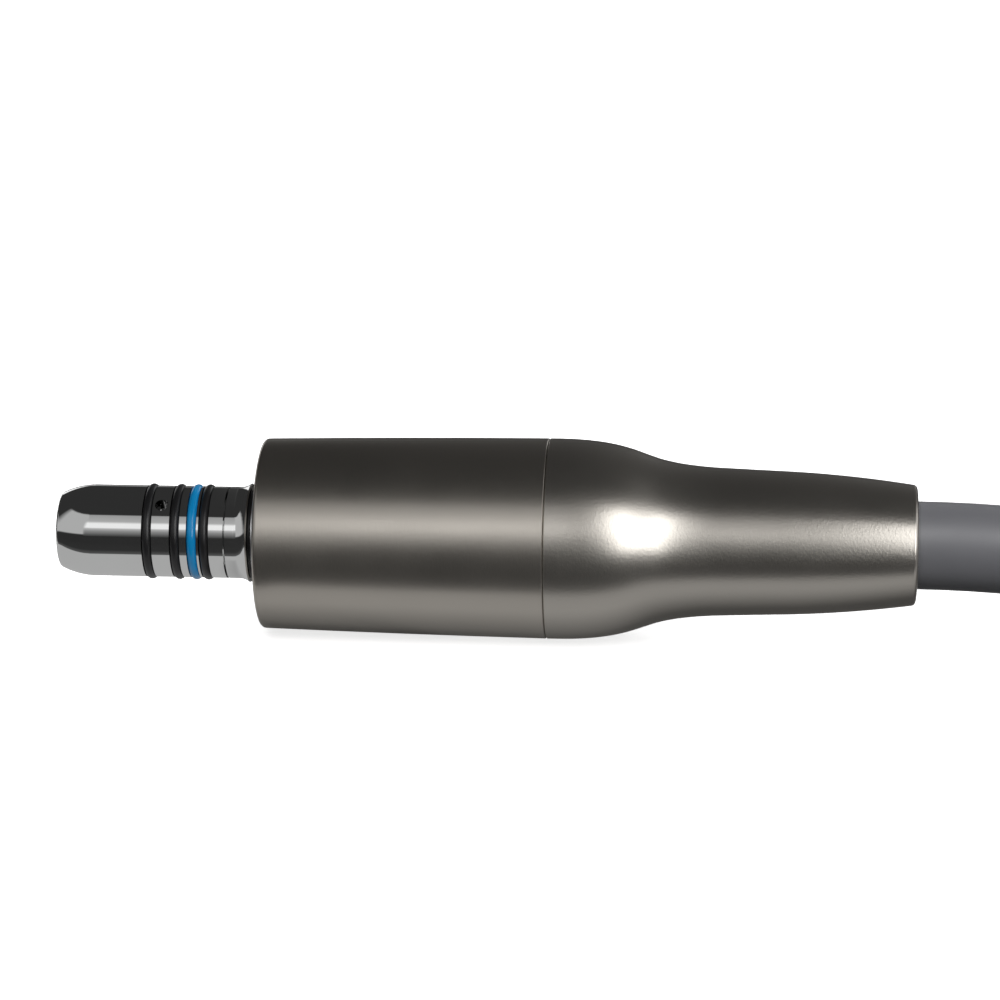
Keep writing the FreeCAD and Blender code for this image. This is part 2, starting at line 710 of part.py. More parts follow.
# ---- connector: what plugs into the dental unit ----
def connector():
    start, end = BOOT
    slots = []
    for i in range(5):
        station = start + 2.4 + 2.6 * i
        radius = 5.7 + 0.075 * (station - start)
        slots += [(station, radius), (station, radius - 0.45)]
        slots += [(station + 1.0, radius - 0.4), (station + 1.0, radius + 0.05)]
    bore = HOSE_R + FIT
    boot = turned((start, bore), (start, 5.5), (start + 0.4, 5.7), *slots, (end, 6.9), (end, bore))
    keep("connector_boot", CONNECTOR, boot)

    tip = 48.0
    body = turned(
        (end + 0.05, 0),
        (end + 0.05, 7.0),
        (26.6, 7.0),
        (27.0, 7.6),
        (29.0, 7.6),
        (29.0, 6.2),
        (34.0, 6.2),
        (34.0, 6.9),
        (36.0, 6.9),
        (36.0, 6.0),
        (tip, 6.0),
        (tip, 0),
    )
    keep("connector_body", CONNECTOR, body)

    shell = turned(
        (29.3, 6.45),
        (29.3, 7.9),
        (29.7, NUT_R),
        (45.6, NUT_R),
        (46.0, 7.9),
        (46.0, 7.2),
        (33.7, 7.2),
        (33.7, 6.45),
    )
    flutes = [side_rod(30.5, 44.8, 0.32, NUT_R + 0.06, 360 * i / NUT_FLUTES) for i in range(NUT_FLUTES)]
    keep("connector_nut", CONNECTOR, shell.cut(flutes))

    tube_angles, pin_angles = (45, 135, 225, 315), (0, 72, 144, 216, 288)
    pierced = [side_rod(tip, 50, 0.9 + FIT, 4.1, a) for a in tube_angles]
    pierced += [side_rod(tip, 50, 0.4 + FIT, 1.7, a) for a in pin_angles]
    keep("connector_gasket", CONNECTOR, rod(tip + FIT, 49.0, 5.9).cut(pierced))
    tubes = [side_tube(tip + FIT, 51.5, 0.9, 0.6, 4.1, a) for a in tube_angles]
    keep("connector_tubes", CONNECTOR, *tubes)
    keep("connector_pins", CONNECTOR, *[side_rod(tip + FIT, 50.8, 0.4, 1.7, a) for a in pin_angles])


def main():
    os.makedirs("parts", exist_ok=True)
    keep("nose_sleeve", MOTOR, nose_sleeve())
    nose_rings()
    keep("coupling_collar", MOTOR, coupling_collar())
    keep("base_seal", MOTOR, base_seal())
    led()
    rotor()
    bearing("front", FRONT_BEARING)
    bearing("rear", REAR_BEARING)
    keep("bearing_shields", MOTOR, *bearing_shields())
    keep("preload_spring", MOTOR, preload_spring())
    keep("shaft_seal", MOTOR, shaft_seal())
    stator()
    keep("motor_can", MOTOR, motor_can())
    keep("front_end_bell", MOTOR, front_end_bell())
    keep("rear_end_bell", MOTOR, rear_end_bell())
    spray_tubes()
    keep("front_casing", MOTOR, front_casing())
    keep("sensor_board", MOTOR, sensor_board())
    keep("contact_block", MOTOR, contact_block())
    contacts_and_nipples()
    keep("coupling_ring", MOTOR, coupling_ring())
    keep("joint_seal", MOTOR, joint_seal())
    keep("hose_sleeve", MOTOR, hose_sleeve())
    keep("slip_ring", MOTOR, slip_ring())
    keep("socket_block", MOTOR, socket_block())
    keep("hose_barb", MOTOR, hose_barb())
    keep("crimp_ferrule", MOTOR, crimp_ferrule())
    hose_lines()
    keep("hose_end", MOTOR, hose_end())
    free_hose()
    connector()


main()
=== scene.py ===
"""Looks for the dental micromotor: camera, hose, ties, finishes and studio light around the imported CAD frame."""

import math

import bpy
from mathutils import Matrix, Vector

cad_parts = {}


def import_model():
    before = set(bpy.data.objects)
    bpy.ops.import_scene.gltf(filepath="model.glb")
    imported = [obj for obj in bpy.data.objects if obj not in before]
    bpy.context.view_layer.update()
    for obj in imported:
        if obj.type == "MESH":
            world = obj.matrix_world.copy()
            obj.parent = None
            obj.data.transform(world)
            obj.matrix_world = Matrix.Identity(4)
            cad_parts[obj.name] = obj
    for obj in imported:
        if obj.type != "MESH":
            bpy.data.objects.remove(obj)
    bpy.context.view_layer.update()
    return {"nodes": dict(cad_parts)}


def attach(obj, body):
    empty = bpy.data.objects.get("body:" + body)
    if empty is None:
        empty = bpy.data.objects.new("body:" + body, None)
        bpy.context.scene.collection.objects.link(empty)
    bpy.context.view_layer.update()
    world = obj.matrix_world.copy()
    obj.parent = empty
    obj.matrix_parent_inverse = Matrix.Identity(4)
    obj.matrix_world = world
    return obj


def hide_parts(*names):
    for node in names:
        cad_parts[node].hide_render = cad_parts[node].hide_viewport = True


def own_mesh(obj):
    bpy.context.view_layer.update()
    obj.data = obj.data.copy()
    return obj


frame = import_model()
nodes = frame["nodes"]

MM = 0.001
AXIS_Z = 0.0109


# ---- camera ----
# Degrees towards the hose from straight in front, degrees above the table, and metres from the target.
VIEW_AZIMUTH, VIEW_ELEVATION, VIEW_AWAY = 4.4, 15.0, 0.38
VIEW_ROLL = -0.1  # degrees
LENS = 125.8  # mm, on a sensor 36 mm wide
MIDDLE_X, MIDDLE_UP = 0.00156, 0.00407  # the picture's middle, along the motor and up the picture from its axis


def aim(obj, target):
    obj.rotation_euler = (Vector(target) - obj.location).to_track_quat("-Z", "Y").to_euler()


def camera():
    azimuth, elevation = math.radians(VIEW_AZIMUTH), math.radians(VIEW_ELEVATION)
    back = Vector(
        (
            math.sin(azimuth) * math.cos(elevation),
            -math.cos(azimuth) * math.cos(elevation),
            math.sin(elevation),
        )
    )
    up = (Vector((0, 0, 1)) - back * back.z).normalized()
    target = Vector((MIDDLE_X, 0, AXIS_Z)) + up * MIDDLE_UP
    data = bpy.data.cameras.new("camera")
    data.sensor_width = 36.0
    data.lens = LENS
    data.clip_start, data.clip_end = 0.02, 50.0
    cam = bpy.data.objects.new("camera", data)
    bpy.context.scene.collection.objects.link(cam)
    cam.location = target + back * VIEW_AWAY
    aim(cam, target)
    cam.rotation_euler.rotate_axis("Z", math.radians(VIEW_ROLL))
    bpy.context.scene.camera = cam


camera()


# ---- material building ----
COLOUR_A, COLOUR_B, COLOUR_OUT = 6, 7, 2  # a Mix node's colour sockets, which share their names with its others
CLOUD, MOTTLE = 90.0, 160.0  # patches per metre in the gloss and colour of metal, and of plastic or rubber
TURNING = (9000, 25, 25)  # turning marks per metre along X, and how little they change round it


def new_material(name):
    mat = bpy.data.materials.new(name)
    mat.use_nodes = True
    tree = mat.node_tree
    return mat, tree, tree.nodes["Principled BSDF"]


def node(tree, kind, **inputs):
    """A node with the named inputs set; an underscore in a name stands for a space."""
    made = tree.nodes.new(kind)
    for key, value in inputs.items():
        made.inputs[key.replace("_", " ")].default_value = value
    return made


def object_coordinates(tree, stretch=(1, 1, 1)):
    place = tree.nodes.new("ShaderNodeTexCoord")
    scale = tree.nodes.new("ShaderNodeMapping")
    scale.inputs["Scale"].default_value = stretch
    tree.links.new(place.outputs["Object"], scale.inputs["Vector"])
    return scale.outputs["Vector"]


def noise(tree, scale, stretch=(1, 1, 1), detail=3.0, roughness=0.6):
    made = node(tree, "ShaderNodeTexNoise", Scale=scale, Detail=detail, Roughness=roughness)
    tree.links.new(object_coordinates(tree, stretch), made.inputs["Vector"])
    return made.outputs["Fac"]


def math_node(tree, operation, *inputs):
    made = tree.nodes.new("ShaderNodeMath")
    made.operation = operation
    for socket, value in zip(made.inputs, inputs):
        if isinstance(value, (int, float)):
            socket.default_value = value
        else:
            tree.links.new(value, socket)
    return made.outputs[0]


def spread(tree, value, low, high, start=0.3, end=0.7):
    """Runs from low to high as value runs from start to end, and stays there beyond them."""
    made = tree.nodes.new("ShaderNodeMapRange")
    for key, number in (("From Min", start), ("From Max", end), ("To Min", low), ("To Max", high)):
        made.inputs[key].default_value = number
    tree.links.new(value, made.inputs["Value"])
    return made.outputs["Result"]


def two_colours(tree, factor, first, second):
    made = tree.nodes.new("ShaderNodeMix")
    made.data_type = "RGBA"
    made.inputs[COLOUR_A].default_value = (*first, 1)
    made.inputs[COLOUR_B].default_value = (*second, 1)
    tree.links.new(factor, made.inputs[0])
    return made.outputs[COLOUR_OUT]


def add_bump(tree, shader, *layers):
    """Stacks bump layers of (height, distance in metres, strength)."""
    before = None
    for height, distance, strength in layers:
        made = node(tree, "ShaderNodeBump", Distance=distance, Strength=strength)
        tree.links.new(height, made.inputs["Height"])
        if before:
            tree.links.new(before, made.inputs["Normal"])
        before = made.outputs["Normal"]
    tree.links.new(before, shader.inputs["Normal"])


# The nose's air port: its place along X, degrees above the front, radius, and the soft edge of the shade painted on its
# wall.
PORT_X, PORT_ANGLE, PORT_R, PORT_EDGE = -0.03497, 50.0, 0.0007, 0.00002
# The grey painted on the port's wall as shade inside the hole.
PORT_SHADE_COLOUR = (0.3, 0.3, 0.3)


def metal(name, colour, rough, grain, depth, stretch=3.5, turned=0.0, wear=0.05, tint=0.93):
    """Metal with a grain in metres, drawn out round X by stretch, and turning lines as strong as turned.

    Clouds make its gloss vary by wear and its colour by tint.
    """
    mat, tree, shader = new_material(name)
    shader.inputs["Metallic"].default_value = 1.0
    fine = noise(tree, 1.0, stretch=(1 / grain, 1 / grain / stretch, 1 / grain / stretch), detail=2.0)
    cloud = noise(tree, CLOUD, detail=4.0)
    dull = tuple(c * tint for c in colour)
    tree.links.new(two_colours(tree, cloud, dull, colour), shader.inputs["Base Color"])
    tree.links.new(spread(tree, cloud, rough - wear, rough + wear), shader.inputs["Roughness"])
    layers = [(fine, depth, 1.0)]
    if turned:
        lines = noise(tree, 1.0, stretch=TURNING, detail=3.0)
        layers.append((lines, depth, turned))
    add_bump(tree, shader, *layers)
    return mat


def paint_port_shade(mat):
    """Paints shade on the wall of the nose's air port, which is drilled square to the motor's axis, by mixing its
    colour towards grey.
    """
    angle = math.radians(PORT_ANGLE)
    tree = mat.node_tree
    colour = tree.nodes["Principled BSDF"].inputs["Base Color"]
    split = tree.nodes.new("ShaderNodeSeparateXYZ")
    tree.links.new(object_coordinates(tree), split.inputs[0])
    x, y, z = split.outputs
    along = math_node(tree, "SUBTRACT", x, PORT_X)
    above = math_node(tree, "SUBTRACT", z, AXIS_Z)
    across = math_node(tree, "MULTIPLY", y, math.sin(angle))
    across = math_node(tree, "MULTIPLY_ADD", above, math.cos(angle), across)
    away = math_node(tree, "POWER", across, 2.0)
    away = math_node(tree, "SQRT", math_node(tree, "MULTIPLY_ADD", along, along, away))
    mix = tree.nodes.new("ShaderNodeMix")
    mix.data_type = "RGBA"
    tree.links.new(colour.links[0].from_socket, mix.inputs[COLOUR_A])
    mix.inputs[COLOUR_B].default_value = (*PORT_SHADE_COLOUR, 1)
    tree.links.new(spread(tree, away, 1.0, 0.0, PORT_R, PORT_R + PORT_EDGE), mix.inputs[0])
    tree.links.new(mix.outputs[COLOUR_OUT], colour)


def moulded(name, colour, rough, grain=0.00025, depth=6e-6, coat=0.0, sheen=0.0, tint=0.85):
    """Plastic or rubber with a fine pebble of that grain and depth in metres, a slight mottle and uneven gloss."""
    mat, tree, shader = new_material(name)
    pebble = noise(tree, 1 / grain, detail=3.0)
    mottle = noise(tree, MOTTLE, detail=4.0)
    dull = tuple(c * tint for c in colour)
    tree.links.new(two_colours(tree, mottle, dull, colour), shader.inputs["Base Color"])
    tree.links.new(spread(tree, mottle, rough - 0.06, rough + 0.06), shader.inputs["Roughness"])
    shader.inputs["Coat Weight"].default_value = coat
    shader.inputs["Sheen Weight"].default_value = sheen
    add_bump(tree, shader, (pebble, depth, 0.5))
    return mat


def hose_skin():
    """The hose's silicone, made once and shared by the free hose and its end."""
    if "hose_silicone" in bpy.data.materials:
        return bpy.data.materials["hose_silicone"]
    mat = moulded("hose_silicone", (0.112, 0.113, 0.122), 0.5, grain=0.00018, depth=5e-6, sheen=0.05, tint=0.9)
    mat.node_tree.nodes["Principled BSDF"].inputs["Sheen Roughness"].default_value = 0.5
    return mat


def finish_all():
    """Gives every CAD node its finish."""
    even = {"wear": 0.02, "tint": 0.98}
    shell = metal("satin_titanium", (0.56, 0.525, 0.475), 0.31, 0.00026, 8e-6, turned=0.2, **even)
    blasted = metal("blasted_titanium", (0.56, 0.53, 0.485), 0.31, 0.00024, 1.2e-5, stretch=1.3, **even)
    plated = metal("plated_nose", (0.92, 0.925, 0.92), 0.035, 0.0006, 3e-7, stretch=1.0, wear=0.015)
    # The nose's plating gets painted shade on its air port's wall.
    paint_port_shade(plated)
    ground = metal("ground_steel", (0.62, 0.61, 0.6), 0.26, 0.0001, 3e-6, turned=0.6)
    polished = metal("bearing_steel", (0.78, 0.78, 0.79), 0.09, 0.0003, 5e-7, wear=0.03)
    spring = metal("spring_steel", (0.5, 0.49, 0.48), 0.3, 0.0001, 3e-6)
    magnet = metal("plated_magnet", (0.42, 0.42, 0.44), 0.38, 0.00015, 4e-6, stretch=1.0)
    brass = metal("turned_brass", (0.76, 0.58, 0.28), 0.24, 0.00012, 3e-6, turned=0.8)
    sheet = metal("varnished_sheet", (0.36, 0.35, 0.36), 0.45, 0.0001, 4e-6, stretch=1.0, wear=0.1)
    copper = metal("enamelled_copper", (0.78, 0.36, 0.17), 0.28, 0.0003, 2e-5, stretch=0.1)
    bell = metal("turned_aluminium", (0.74, 0.74, 0.75), 0.3, 0.0001, 3e-6, turned=0.8)
    gold = metal("gold_contact", (0.86, 0.66, 0.3), 0.18, 0.0001, 1e-6)
    nut = metal("anodised_nut", (0.68, 0.67, 0.66), 0.36, 0.00012, 4e-6, stretch=1.0)
    black = moulded("black_rubber", (0.012, 0.012, 0.013), 0.32)
    blue = moulded("blue_rubber", (0.006, 0.38, 0.86), 0.2, coat=0.3)
    lamp = moulded("lamp_body", (0.8, 0.74, 0.48), 0.3)
    wire_red = moulded("wire_insulation", (0.5, 0.05, 0.04), 0.4)
    cage = moulded("cage_plastic", (0.4, 0.24, 0.11), 0.5)
    board = moulded("coated_board", (0.03, 0.17, 0.07), 0.35, coat=0.5)
    dark = moulded("dark_moulding", (0.03, 0.03, 0.034), 0.42)
    nylon = moulded("white_nylon", (0.78, 0.78, 0.75), 0.45)
    line = moulded("inner_line", (0.55, 0.58, 0.6), 0.3)
    jacket = moulded("cable_jacket", (0.06, 0.06, 0.07), 0.4)
    boot = moulded("boot_rubber", (0.07, 0.072, 0.082), 0.5)
    lens = moulded("lens_glass", (0.9, 0.94, 0.96), 0.08, depth=1e-6)
    lens.node_tree.nodes["Principled BSDF"].inputs["Transmission Weight"].default_value = 0.85
    table = {
        shell: ["front_casing"],
        blasted: ["hose_sleeve"],
        plated: ["nose_sleeve", "coupling_collar"],
        ground: [
            "rotor_shaft", "dog_pin", "drive_dog", "bearing_shields", "magnet_sleeve", "coupling_ring", "hose_barb",
            "crimp_ferrule", "fluid_nipples", "chip_air_tube", "water_tube", "motor_can", "connector_tubes",
        ],
        polished: [f"{end}_bearing_{part}" for end in ("front", "rear") for part in ("inner", "outer", "balls")],
        spring: ["dog_spring", "preload_spring"],
        magnet: ["rotor_magnet"],
        brass: ["balance_rings"],
        sheet: ["stator_laminations"],
        copper: ["stator_windings"],
        bell: ["front_end_bell", "rear_end_bell"],
        gold: ["contact_pins", "connector_pins"],
        nut: ["connector_nut"],
        black: ["black_o_rings", "base_seal", "shaft_seal", "joint_seal", "nipple_o_rings"],
        blue: ["blue_o_ring"],
        lamp: ["led_lamp"],
        wire_red: ["led_leads", "phase_leads"],
        cage: ["front_bearing_cage", "rear_bearing_cage"],
        board: ["sensor_board"],
        dark: ["contact_block", "socket_block", "connector_body"],
        nylon: ["slip_ring"],
        line: ["fluid_lines"],
        jacket: ["power_cable"],
        boot: ["connector_boot", "connector_gasket"],
        lens: ["led_lens"],
        hose_skin(): ["hose_end"],
    }
    for mat, names in table.items():
        for name in names:
            mesh = nodes[name].data
            mesh.materials.clear()
            mesh.materials.append(mat)


# ---- hose ----
HOSE_R = 0.00475
COIL_CENTRE = (0.118, 0.05275)
TURN_IN, TURN_OUT = 0.04325, 0.05275
LAYERS = (0.00475, 0.01425, 0.02375)
# Where the hose moves between turns and layers, in degrees from where the lead meets the coil.
MOVE_IN, CLIMB_ONE, MOVE_OUT, CLIMB_TWO = (270, 360), (600, 680), (880, 960), (1230, 1310)
COIL_START, COIL_END, COIL_POINTS = 11.25, 1355.0, 61
COIL_STEP = (COIL_END - COIL_START) / (COIL_POINTS - 1)

# The route's other points: the lead in millimetres, and the tail as radius, angle and height round the coil.
LEAD_ROUTE = [
    (46.55, 0.0, 10.9),
    (62.0, 0.0, 10.9),
    (85.5, 0.0, 4.75),
    (110.5, 0.3, 4.75),
]
TAIL_TURN = [
    (53.8, -152.36, 23.75),
    (53.84, -129.45, 23.76),
    (53.44, -106.26, 23.8),
    (52.69, -82.82, 23.95),
    (51.73, -59.0, 24.4),
    (50.8, -37.67, 25.35),
    (49.9, -17.8, 26.65),
]
CONNECTOR_START = (49.44, -8.08, 27.35)  # like the tail's points
CONNECTOR_HEADING = math.radians(87.0)
CONNECTOR_STATIONS = (6.0, 20.0)  # the hose's last two points, in millimetres into the connector


def eased(value, start, end):
    """From 0 at start to 1 at end, level at both."""
    share = min(1.0, max(0.0, (value - start) / (end - start)))
    return share * share * (3 - 2 * share)


def on_coil(radius, angle, height):
    """A point in metres at that radius and angle round the coil's centre, from millimetres and degrees."""
    a = math.radians(angle)
    return (
        COIL_CENTRE[0] + radius * MM * math.cos(a),
        COIL_CENTRE[1] + radius * MM * math.sin(a),
        height * MM,
    )


def on_connector(station):
    """A point in metres on the connector's axis, that many millimetres from where it starts."""
    start = Vector(on_coil(*CONNECTOR_START))
    return start + station * MM * Vector((math.cos(CONNECTOR_HEADING), math.sin(CONNECTOR_HEADING), 0))


def hose_route():
    """The hose's control points in metres: the lead, the coil's turns, the tail and the connector."""
    points = [tuple(c * MM for c in p) for p in LEAD_ROUTE]
    # A spline of order 3 passes this much inside the ring that its points are on.
    inside = (3 + math.cos(math.radians(COIL_STEP))) / 4
    for i in range(COIL_POINTS):
        turned = COIL_START + i * COIL_STEP
        inward = eased(turned, *MOVE_IN) - eased(turned, *MOVE_OUT)
        radius = (TURN_OUT + (TURN_IN - TURN_OUT) * inward) / inside
        height = LAYERS[0] + (LAYERS[1] - LAYERS[0]) * (eased(turned, *CLIMB_ONE) + eased(turned, *CLIMB_TWO))
        points.append(on_coil(radius / MM, turned - 90, height / MM))
    points += [on_coil(*p) for p in TAIL_TURN]
    points += [tuple(on_connector(s)) for s in CONNECTOR_STATIONS]
    return points


def hose():
    """The free hose, as one smooth curve from the motor's end to the connector."""
    curve = bpy.data.curves.new("hose", "CURVE")
    curve.dimensions = "3D"
    curve.bevel_depth = HOSE_R
    curve.bevel_resolution = 10
    curve.use_fill_caps = True
    curve.resolution_u = 10
    spline = curve.splines.new("NURBS")
    points = hose_route()
    spline.points.add(len(points) - 1)
    for point, place in zip(spline.points, points):
        point.co = (*place, 1)
    spline.order_u = 3
    spline.use_endpoint_u = True
    piece = bpy.data.objects.new("hose", curve)
    bpy.context.scene.collection.objects.link(piece)
    curve.materials.append(hose_skin())
    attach(piece, "motor")
    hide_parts("hose_lead", "hose_coil", "hose_tail")
    return piece


# ---- ties ----
TIE_ANGLES = (146.0, 204.0)
TIE_WIDTH, TIE_THICKNESS = 0.006, 0.0009
TIE_EDGE = 0.00025  # how far a strap's outer edges are rounded in
TIE_BITE = 0.0001  # how far its inner side is pressed into the hose
TIE_ARC = 8  # steps round each turn of the hose
TIE_FOOT = 0.0004  # its thickness where it passes under the coil


def strap_outline(grow, lowest):
    """The rounded outline of a strap pulled tight round the turns, as (radius, height) points."""
    turns = [(TURN_IN, LAYERS[0]), (TURN_OUT, LAYERS[0]), (TURN_OUT, LAYERS[2]), (TURN_IN, LAYERS[1])]
    reach = HOSE_R + grow
    outline = []
    for i, (r, z) in enumerate(turns):
        before, after = turns[i - 1], turns[(i + 1) % len(turns)]
        first = math.atan2(z - before[1], r - before[0]) - math.pi / 2
        last = math.atan2(after[1] - z, after[0] - r) - math.pi / 2
        while last < first:
            last += 2 * math.pi
        for k in range(TIE_ARC + 1):
            a = first + (last - first) * k / TIE_ARC
            outline.append((r + reach * math.cos(a), max(z + reach * math.sin(a), lowest)))
    return outline


def strap_skin():
    """Looped strap fabric."""
    mat, tree, shader = new_material("strap_fabric")
    loops = node(tree, "ShaderNodeTexVoronoi", Scale=3800.0)
    tree.links.new(object_coordinates(tree), loops.inputs["Vector"])
    mottle = noise(tree, 900.0)
    tree.links.new(two_colours(tree, mottle, (0.34, 0.35, 0.37), (0.47, 0.48, 0.5)), shader.inputs["Base Color"])
    tree.links.new(spread(tree, mottle, 0.7, 0.9), shader.inputs["Roughness"])
    shader.inputs["Sheen Weight"].default_value = 0.4
    add_bump(tree, shader, (loops.outputs["Distance"], 0.00012, 0.8))
    return mat


def tie(number, angle, skin):
    """One strap round the coil at that angle."""
    half = TIE_WIDTH / 2
    profile = [  # (share of the thickness, offset across the strap)
        (0, -half),
        (0, half),
        (0.7, half),
        (1, half - TIE_EDGE),
        (1, -half + TIE_EDGE),
        (0.7, -half),
    ]
    a = math.radians(angle)
    out, side = Vector((math.cos(a), math.sin(a), 0)), Vector((-math.sin(a), math.cos(a), 0))
    base = Vector((*COIL_CENTRE, 0))
    verts, faces = [], []
    inner, outer = strap_outline(-TIE_BITE, TIE_FOOT), strap_outline(TIE_THICKNESS, 0.0)
    for (r0, z0), (r1, z1) in zip(inner, outer):
        for share, across in profile:
            r, z = r0 + (r1 - r0) * share, z0 + (z1 - z0) * share
            verts.append(base + out * r + side * across + Vector((0, 0, z)))
    count, width = len(inner), len(profile)
    for i in range(count):
        j = (i + 1) % count
        for k in range(width):
            m = (k + 1) % width
            faces.append((i * width + k, i * width + m, j * width + m, j * width + k))
    mesh = bpy.data.meshes.new(f"hose_tie_{number}")
    mesh.from_pydata([tuple(v) for v in verts], [], faces)
    mesh.update()
    mesh.materials.append(skin)
    for polygon in mesh.polygons:
        polygon.use_smooth = True
    piece = bpy.data.objects.new(f"hose_tie_{number}", mesh)
    bpy.context.scene.collection.objects.link(piece)
    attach(piece, "motor")
    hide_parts("hose_ties")
    return piece


def ties():
    skin = strap_skin()
    return [tie(number, angle, skin) for number, angle in enumerate(TIE_ANGLES, 1)]


free_hose = hose()
straps = ties()
finish_all()


def dog_spring():
    """The drive dog's spring, which is pressed against the shaft's shoulder, copied as its own piece on the rotor in
    place of the CAD node.
    """
    piece = bpy.data.objects.new("dog_spring_coil", nodes["dog_spring"].data.copy())
    bpy.context.scene.collection.objects.link(piece)
    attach(piece, "rotor")
    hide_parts("dog_spring")
    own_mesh(piece)


dog_spring()


# ---- studio ----
def profile(tree, value, start, end, stops):
    """Reads a number from stops of (value, result), in straight runs. A ramp holds the results as shares of the top."""
    top = max(result for _, result in stops)
    ramp = tree.nodes.new("ShaderNodeValToRGB")
    ramp.color_ramp.interpolation = "LINEAR"
    elements = ramp.color_ramp.elements
    while len(elements) < len(stops):
        elements.new(0.5)
    for element, (place, result) in zip(elements, stops):
        element.position = (place - start) / (end - start)
        element.color = (*[result / top] * 3, 1)
    tree.links.new(spread(tree, value, 0, 1, start, end), ramp.inputs[0])
    return math_node(tree, "MULTIPLY", ramp.outputs[0], top)


def by_ray(tree, kind, usual, special):
    """A shader that is the special one to rays of that kind and the usual one to others."""
    path, mix = tree.nodes.new("ShaderNodeLightPath"), tree.nodes.new("ShaderNodeMixShader")
    tree.links.new(path.outputs[kind], mix.inputs[0])
    tree.links.new(usual, mix.inputs[1])
    tree.links.new(special, mix.inputs[2])
    return mix.outputs[0]


# What the metal sees round it, as panels of light: brightness by elevation, then strength by azimuth. Azimuth 0 is
# straight in front of the motor and grows towards the hose.
FRONT = (
    [(-5, 0.0), (2, 0.06), (12, 0.32), (18, 0.6), (21, 1.2), (30.5, 1.2), (36, 0.55), (51, 0.42), (53, 0.0)],
    [
        (-21, 0.0), (-18, 0.76), (-7.5, 0.72), (-5.5, 2.1), (-2.5, 2.5), (0.0, 0.07),
        (9.5, 0.07), (12.5, 1.0), (19, 1.0), (24, 0.6), (28, 0.0),
    ],
)
NOSE_SIDE = (
    [(2, 0.0), (5, 0.42), (50, 0.42), (53, 0.0)],
    [(-80, 0.0), (-65, 1.0), (-21, 1.0), (-18, 0.0)],
)
HOSE_SIDE = (
    [(-1, 0.0), (1, 1.0), (42, 1.0), (52, 0.0)],
    [(22, 0.0), (25, 3.3), (31, 4.0), (44, 4.0), (50, 0.9), (100, 0.9), (130, 0.0)],
)
BACK = (
    [(0, 0.0), (3, 1.0), (14, 1.0), (17, 0.0)],
    [(-172, 0.05), (-160, 1.0), (-130, 1.0), (-115, 0.0), (120, 0.0), (130, 1.0), (160, 1.0), (172, 0.05)],
)
# The ceiling behind the motor: brightness by elevation, then strength by the direction's X and by its Y.
CEILING = (
    [(8, 0.0), (20, 0.09), (52, 0.042), (75, 0.022), (90, 0.022)],
    [(-0.155, 0.0), (-0.135, 0.5), (0.0, 0.55), (0.12, 1.0)],
    [(-0.2, 0.0), (0.1, 1.0)],
)
ROOM = 0.029  # brightness everywhere else
ROOM_ON_ROUGH, ROOM_IN_VIEW = 0.07, 0.93  # what rough surfaces and the camera get in place of the panels


def world():
    """The studio round the object: the panels for reflections, and a plain pale room for the rest."""
    made = bpy.data.worlds.new("studio")
    bpy.context.scene.world = made
    made.use_nodes = True
    tree = made.node_tree
    tree.nodes.clear()
    place = tree.nodes.new("ShaderNodeTexCoord")
    split = tree.nodes.new("ShaderNodeSeparateXYZ")
    tree.links.new(place.outputs["Generated"], split.inputs[0])
    x, y, z = split.outputs
    elevation = math_node(tree, "DEGREES", math_node(tree, "ARCSINE", z))
    azimuth = math_node(tree, "DEGREES", math_node(tree, "ARCTAN2", x, math_node(tree, "MULTIPLY", y, -1)))
    light = ROOM
    for rise, sweep in (FRONT, NOSE_SIDE, HOSE_SIDE, BACK):
        level = profile(tree, elevation, -90, 90, rise)
        light = math_node(tree, "MULTIPLY_ADD", level, profile(tree, azimuth, -180, 180, sweep), light)
    rise, by_x, by_y = CEILING
    ceiling = math_node(tree, "MULTIPLY", profile(tree, x, -1, 1, by_x), profile(tree, y, -1, 1, by_y))
    light = math_node(tree, "MULTIPLY_ADD", ceiling, profile(tree, elevation, -90, 90, rise), light)
    shown = {}
    for name, value in (("panels", 1.0), ("rough", ROOM_ON_ROUGH), ("view", ROOM_IN_VIEW)):
        shown[name] = tree.nodes.new("ShaderNodeBackground")
        shown[name].inputs["Color"].default_value = (1, 1, 1, 1)
        shown[name].inputs["Strength"].default_value = value
    tree.links.new(light, shown["panels"].inputs["Strength"])
    mixed = by_ray(tree, "Is Diffuse Ray", shown["panels"].outputs[0], shown["rough"].outputs[0])
    mixed = by_ray(tree, "Is Camera Ray", mixed, shown["view"].outputs[0])
    out = tree.nodes.new("ShaderNodeOutputWorld")
    tree.links.new(mixed, out.inputs[0])


# The paper as reflections see it: its brightness by distance in front of or behind the motor's axis.
PAPER_GLOW = [(0, 0.42), (0.0166, 0.42), (0.0174, 0.085), (0.023, 0.03), (0.05, 0.026)]
# Beside the nose the glow is narrower by this factor, which falls to 1 between these two places along X.
NOSE_NARROWER, NOSE_GLOW_X = 1.25, (-0.0275, -0.024)
# The barrel's own shade under it. It sets in between these places along X, and fades between these distances.
SHADE, SHADE_X, SHADE_AWAY = 0.15, (-0.030, -0.022), (0.0035, 0.0105)
PAPER_LIGHT = 0.72  # light that the paper gives off itself, so that it is white to the camera
PAPER_ON_ROUGH = 0.05  # what rough surfaces get from it


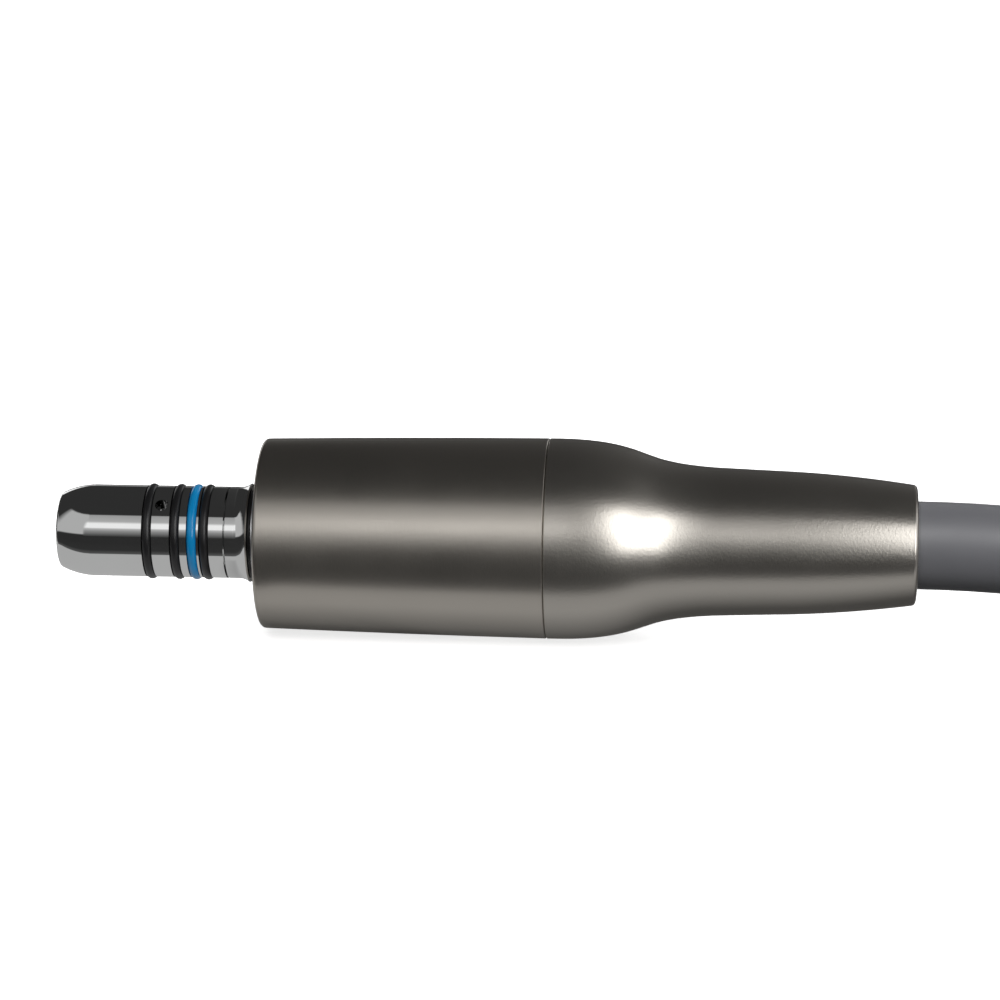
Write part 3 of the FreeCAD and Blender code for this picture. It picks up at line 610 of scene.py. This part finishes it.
def floor():
    """White paper, plain to the camera. The metal reflects it lit close to the motor and dark beyond."""
    bpy.ops.mesh.primitive_plane_add(size=30.0, location=(0, 0, 0))
    ground = bpy.context.object
    ground.name = "floor"
    mat, tree, shader = new_material("pale_floor")
    shader.inputs["Base Color"].default_value = (0.86, 0.86, 0.86, 1)
    shader.inputs["Roughness"].default_value = 0.9
    shader.inputs["Specular IOR Level"].default_value = 0.0
    shader.inputs["Emission Color"].default_value = (1, 1, 1, 1)
    shader.inputs["Emission Strength"].default_value = PAPER_LIGHT
    place = tree.nodes.new("ShaderNodeTexCoord")
    split = tree.nodes.new("ShaderNodeSeparateXYZ")
    tree.links.new(place.outputs["Object"], split.inputs[0])
    along = split.outputs["X"]
    away = math_node(tree, "ABSOLUTE", split.outputs["Y"])
    narrower = spread(tree, along, NOSE_NARROWER, 1.0, *NOSE_GLOW_X)
    glow = profile(tree, math_node(tree, "MULTIPLY", away, narrower), 0, 0.05, PAPER_GLOW)
    unshaded = spread(tree, along, 1.0, 0.0, *SHADE_X)
    shade = math_node(tree, "MAXIMUM", unshaded, spread(tree, away, SHADE, 1.0, *SHADE_AWAY))
    reflected, rough = tree.nodes.new("ShaderNodeEmission"), tree.nodes.new("ShaderNodeEmission")
    tree.links.new(math_node(tree, "MULTIPLY", glow, shade), reflected.inputs["Strength"])
    rough.inputs["Strength"].default_value = PAPER_ON_ROUGH
    mixed = by_ray(tree, "Is Glossy Ray", shader.outputs[0], reflected.outputs[0])
    mixed = by_ray(tree, "Is Diffuse Ray", mixed, rough.outputs[0])
    tree.links.new(mixed, tree.nodes["Material Output"].inputs["Surface"])
    ground.data.materials.append(mat)
    return ground


def area_light(name, centre, size, radiance, target=(0.0, 0.0, AXIS_Z), glossy=True):
    """A rectangular light of that radiance, facing its target."""
    data = bpy.data.lights.new(name, "AREA")
    data.shape = "RECTANGLE"
    data.size, data.size_y = size
    data.energy = radiance * math.pi * size[0] * size[1]
    light = bpy.data.objects.new(name, data)
    bpy.context.scene.collection.objects.link(light)
    light.location = centre
    aim(light, target)
    light.visible_glossy = glossy
    return light


def only_on(light, *receivers):
    """Keeps a light to the objects given."""
    lit = bpy.data.collections.new(f"lit_from_{light.name}")
    for obj in receivers:
        lit.objects.link(obj)
    light.light_linking.receiver_collection = lit


# The overhead light reaches only the paper, and the hose light only the hose. The fills light plastic and rubber,
# which the panels don't, and show in no reflection.
ground = floor()
world()
overhead = area_light("overhead", (0, 0, 1.6), (2.4, 2.4), 1.6, target=(0, 0, 0), glossy=False)
only_on(overhead, ground)
area_light("front_fill", (-0.05, -1.0, 0.82), (1.0, 0.35), 3.2, glossy=False)
area_light("back_fill", (0.35, 1.2, 0.75), (1.2, 0.5), 4.8, target=(0.08, 0.05, 0.0), glossy=False)
hose_light = area_light("hose_light", (0.3, -0.75, 0.95), (1.4, 0.4), 7.5)
only_on(hose_light, free_hose, nodes["hose_end"])

scene = bpy.context.scene
scene.view_settings.view_transform = "Standard"
scene.view_settings.look = "None"
